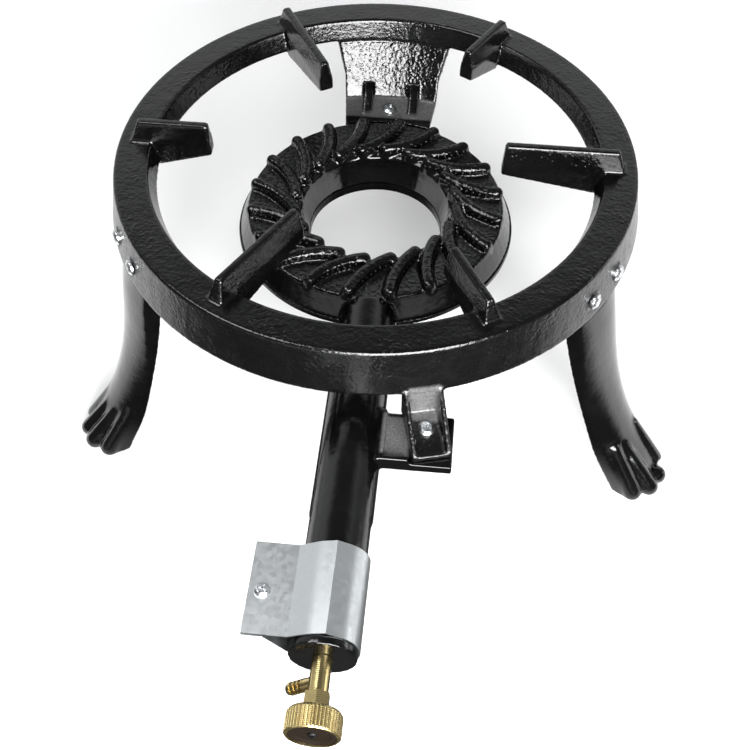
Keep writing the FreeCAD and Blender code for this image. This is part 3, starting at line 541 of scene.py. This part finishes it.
def port_marks(head, s):
    """Raised rims of the gas ports on both flanks of every rib, and near-black discs of painted
    shade in their mouths.
    """
    tree = BVHTree.FromObject(head, bpy.context.evaluated_depsgraph_get())
    rims = bmesh.new()
    shade_discs = bmesh.new()
    for point, out in port_places(s):
        for way in (1.0, -1.0):
            origin = point + out * way * s.rib_width
            spot, normal, _, _ = tree.ray_cast(origin, out * -way, s.rib_width)
            if spot is None or normal.dot(out * way) < PORT_FACING:
                continue
            rows = [port_circle(rims, spot, normal, s.port_radius, *step) for step in PORT_RIM]
            for low, high in zip(rows, rows[1:]):
                for k in range(PORT_SIDES):
                    rims.faces.new((low[k - 1], low[k], high[k], high[k - 1])).smooth = True
            # A near-black disc in each port's mouth is painted shade for the drilled hole.
            shade_discs.faces.new(port_circle(shade_discs, spot, normal, s.port_radius, *PORT_SHADE_DISC))
    made = []
    for name, bm in (("port_rims", rims), ("port_shade_discs", shade_discs)):
        mesh = bpy.data.meshes.new(name)
        bm.to_mesh(mesh)
        bm.free()
        obj = bpy.data.objects.new(name, mesh)
        bpy.context.scene.collection.objects.link(obj)
        made.append(obj)
    return made


class BURNER_OT_legs(bpy.types.Operator):
    """Rounds the three cast legs and their toes"""

    bl_idname = "burner.legs"
    bl_label = "Cast legs"

    def execute(self, context):
        s = context.scene.burner_cast
        iron = enamel("leg_enamel", context.scene.burner_finish, gloss=0.02, peel=0.4, lumps=0.35)
        for node in ("leg_back", "leg_left", "leg_right"):
            obj = cast_copy(node, s.leg_voxel, s.leg_smooth)
            dress(obj, iron)
            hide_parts(node)
            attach(obj, body_name(node))
        return {"FINISHED"}


class BURNER_OT_ring(bpy.types.Operator):
    """Rounds the pan ring with its supports, ear and bracket"""

    bl_idname = "burner.ring"
    bl_label = "Pan ring"

    def execute(self, context):
        s = context.scene.burner_cast
        obj = cast_copy("pan_ring", s.ring_voxel, s.ring_smooth)
        dress(obj, enamel("ring_enamel", context.scene.burner_finish, walls=0.25,
                          pebbled=RING_PEBBLED, beads=0.3, lumps=0.5, sheen_pads=RING_SHEEN_PADS))
        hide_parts("pan_ring")
        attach(obj, body_name("pan_ring"))
        return {"FINISHED"}


class BURNER_OT_head(bpy.types.Operator):
    """Rounds the burner head with its ribs, tube and wing, and marks its gas ports"""

    bl_idname = "burner.head"
    bl_label = "Burner head"

    def execute(self, context):
        s = context.scene.burner_cast
        finish = context.scene.burner_finish
        obj = cast_copy("burner_body", s.head_voxel, s.ring_smooth)
        dress(obj, enamel("head_enamel", finish, deck=(s.rib_inner - DECK_MARGIN, DECK_OUTER),
                          lumps=0.4, sheen_pads=HEAD_SHEEN_PADS))
        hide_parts("burner_body")
        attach(obj, body_name("burner_body"))
        rims, shade_discs = port_marks(obj, s)
        dress(rims, obj.data.materials[0])
        # The discs get a near-black finish: painted shade.
        dress(shade_discs, moulded("port_shadow", finish, (0.002, 0.002, 0.002), 0.8, 0.00001))
        for mark in (rims, shade_discs):
            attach(mark, body_name("burner_body"))
        return {"FINISHED"}


class BURNER_OT_finishes(bpy.types.Operator):
    """Gives every CAD piece that stays its finish"""

    bl_idname = "burner.finishes"
    bl_label = "Metal finishes"

    def execute(self, context):
        s = context.scene.burner_finish
        iron = enamel("plate_enamel", s)
        zinc = plated("zinc_plate", s, s.zinc, 0.22)
        brass = machined("turned_brass", s)
        for names, material in ((IRON, iron), (ZINC, zinc), (BRASS, brass)):
            for name in names:
                dress(NODES[name], material)
        dress(NODES["knob"], machined("knurled_brass", s, rough=0.26))
        dress(NODES["air_shutter"], galvanised("galvanised_sheet", s))
        dress(NODES["gland_packing"],
              moulded("packing_ring", s, (0.8, 0.8, 0.76), 0.5, 0.00005))
        # The knob's front disc is near-black brown: painted shade for a brass face turned away from
        # the light.
        dress(NODES["knob_insert"],
              moulded("knob_disc_painted_shade", s, (0.012, 0.008, 0.005), 0.5, 0.00006, shine=0.12))
        dress(NODES["knob_screw"], plated("black_screw", s, (0.04, 0.04, 0.04), 0.4))
        return {"FINISHED"}


def area_light(name, place, target, width, height, power):
    data = bpy.data.lights.new(name, "AREA")
    data.shape = "RECTANGLE"
    data.size = width
    data.size_y = height
    data.energy = power
    obj = bpy.data.objects.new(name, data)
    bpy.context.scene.collection.objects.link(obj)
    obj.location = place
    obj.rotation_euler = (target - place).to_track_quat("-Z", "Y").to_euler()


class BURNER_OT_stage(bpy.types.Operator):
    """Adds the floor, the studio light and the camera"""

    bl_idname = "burner.stage"
    bl_label = "Stage"

    def execute(self, context):
        s = context.scene.burner_stage
        scene = context.scene
        scene.view_settings.view_transform = "Standard"
        scene.view_settings.look = "None"
        mesh = bpy.data.meshes.new("floor")
        half = s.floor_size / 2.0
        corners = [(-half, -half, 0.0), (half, -half, 0.0), (half, half, 0.0), (-half, half, 0.0)]
        mesh.from_pydata(corners, [], [(0, 1, 2, 3)])
        floor = bpy.data.objects.new("floor", mesh)
        scene.collection.objects.link(floor)
        floor.location = (RING_X, RING_Y, 0.0)
        dress(floor, self.paper(s))
        self.light_room(scene, s)
        data = bpy.data.cameras.new("camera")
        data.lens = s.lens
        data.sensor_width = 36.0
        data.clip_end = 50.0
        camera = bpy.data.objects.new("camera", data)
        scene.collection.objects.link(camera)
        along = Vector(s.camera_along).normalized()
        side = along.cross(Vector(s.camera_up)).normalized()
        rise = side.cross(along)
        turn = Matrix((side, rise, -along)).transposed().to_4x4()
        camera.matrix_world = Matrix.Translation(from_axis(s.camera_at)) @ turn
        scene.camera = camera
        return {"FINISHED"}

    def paper(self, s):
        """Pale paper that fades to white; the metal sees it dark in front and bright behind, and
        the dark front is painted shade.
        """
        g = Graph("floor_paper")
        # Painted shade: to everything but the camera the floor is dark in front, and pale only
        # behind and at the flanks.
        flank = abs(g.x).ramp(*FLANK_X) * g.y.ramp(*FLANK_Y)
        bright = g.math("MAXIMUM", flank, g.y.ramp(*BACK_Y))
        depth = s.floor_near + (s.floor_far - s.floor_near) * bright
        seen = g.node("ShaderNodeLightPath", "Is Camera Ray")
        tone = seen * s.floor_tone + (1.0 - seen) * depth
        far = (g.x * g.x + g.y * g.y).sqrt().ramp(*HAZE_RADII)
        haze = seen * (g.y.ramp(*HAZE_Y) * s.haze_back + far * s.haze_far) \
            + (1.0 - seen) * g.y.ramp(*FRONT_Y) * s.front_level
        return g.surface(Base_Color=g.grey(tone), Emission_Color=g.grey(haze),
                         Emission_Strength=1.0, Roughness=s.floor_rough, Specular_IOR_Level=0.0)

    def light_room(self, scene, s):
        """A white world to the camera, and a dim room with a bright backdrop to the metal."""
        world = bpy.data.worlds.new("studio")
        scene.world = world
        world.use_nodes = True
        g = Graph.over(world.node_tree)
        x, y, z = g.split(g.node("ShaderNodeTexCoord", "Generated"))
        backdrop = y.ramp(*BACKDROP_Y) * z.ramp(*BACKDROP_Z) * x.ramp(*BACKDROP_X)
        doorway = y.ramp(*DOORWAY_Y) * z.ramp(*DOORWAY_Z)
        level = s.room_level + s.backdrop_level * backdrop + s.front_level * doorway
        room = g.node("ShaderNodeBackground", Color=ROOM_COLOUR, Strength=level)
        shown = g.node("ShaderNodeBackground", Color=WHITE, Strength=1.0)
        seen = g.node("ShaderNodeLightPath", "Is Camera Ray")
        mixed = g.node("ShaderNodeMixShader", i0=seen, i1=room, i2=shown)
        g.node("ShaderNodeOutputWorld", None, Surface=mixed)
        powers = {"key": s.key_power, "front": s.front_power, "side": s.side_power}
        for name, (place, target, width, height) in LAMPS.items():
            area_light(name, from_axis(place), from_axis(target), width, height, powers[name])


class BURNER_PT_panel(bpy.types.Panel):
    bl_label = "Gas burner"
    bl_idname = "BURNER_PT_panel"
    bl_space_type = "VIEW_3D"
    bl_region_type = "UI"
    bl_category = "Burner"

    def draw(self, context):
        for name in STEPS:
            self.layout.operator("burner." + name)


CLASSES = (FinishSettings, CastSettings, StageSettings, BURNER_OT_legs, BURNER_OT_ring,
           BURNER_OT_head, BURNER_OT_finishes, BURNER_OT_stage, BURNER_PT_panel)


def register():
    for kind in CLASSES:
        bpy.utils.register_class(kind)
    bpy.types.Scene.burner_finish = PointerProperty(type=FinishSettings)
    bpy.types.Scene.burner_cast = PointerProperty(type=CastSettings)
    bpy.types.Scene.burner_stage = PointerProperty(type=StageSettings)


def unregister():
    del bpy.types.Scene.burner_finish
    del bpy.types.Scene.burner_cast
    del bpy.types.Scene.burner_stage
    for kind in reversed(CLASSES):
        bpy.utils.unregister_class(kind)


def main():
    register()
    for name in STEPS:
        getattr(bpy.ops.burner, name)()


if __name__ == "__main__":
    main()
